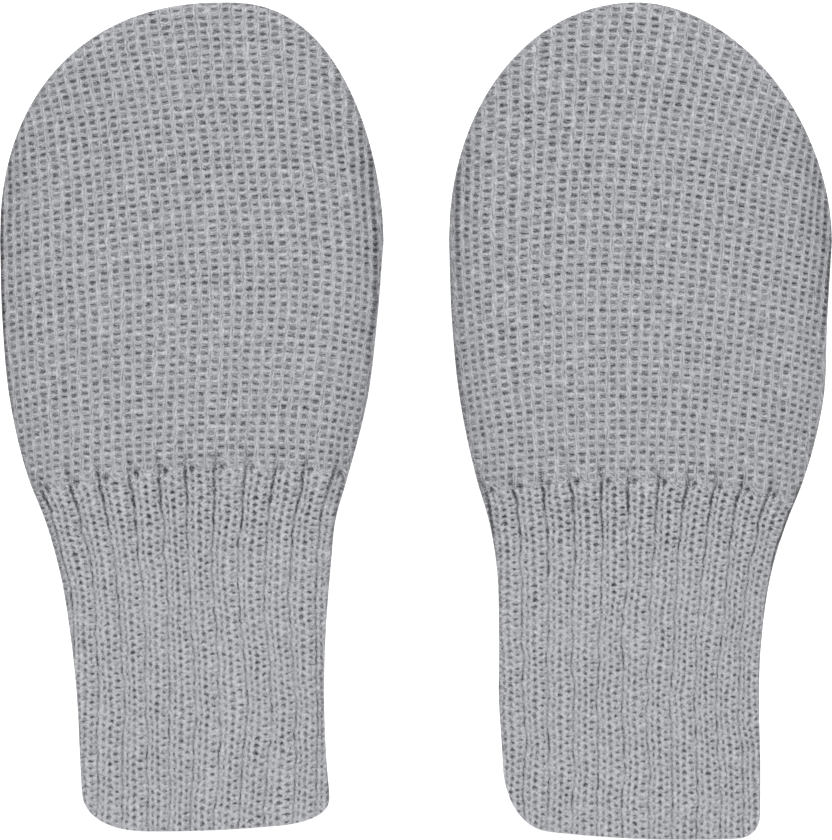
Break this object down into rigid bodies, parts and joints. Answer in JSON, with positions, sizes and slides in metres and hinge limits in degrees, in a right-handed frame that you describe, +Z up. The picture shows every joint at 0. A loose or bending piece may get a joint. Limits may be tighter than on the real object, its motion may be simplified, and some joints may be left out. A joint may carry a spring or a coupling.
{
  "type": "pair of thumbless knitted baby mittens",
  "caption": "Pair of thumbless knitted baby mittens laid flat side by side, with rounded tips, waffle-textured hands and long ribbed cuffs, in light grey yarn.",
  "frame": {"origin": "middle of the pair's footprint, on the surface that the mittens lie on", "axes": "+Z up out of that surface, +Y towards the fingertips, +X towards the right mitten as seen from above"},
  "size_m": [0.1414, 0.1422, 0.0051],
  "materials": {
    "hand_knit": "matt light heather grey knit, half-cardigan stitch with small dark holes",
    "cuff_rib": "matt light heather grey knit, wide rib with dark cracks between the ribs"
  },
  "bodies": {
    "root": {"left_hand_front": "hand_knit", "left_hand_back": "hand_knit", "left_cuff_front": "cuff_rib", "left_cuff_back": "cuff_rib", "right_hand_front": "hand_knit", "right_hand_back": "hand_knit", "right_cuff_front": "cuff_rib", "right_cuff_back": "cuff_rib"}
  },
  "joints": []
}
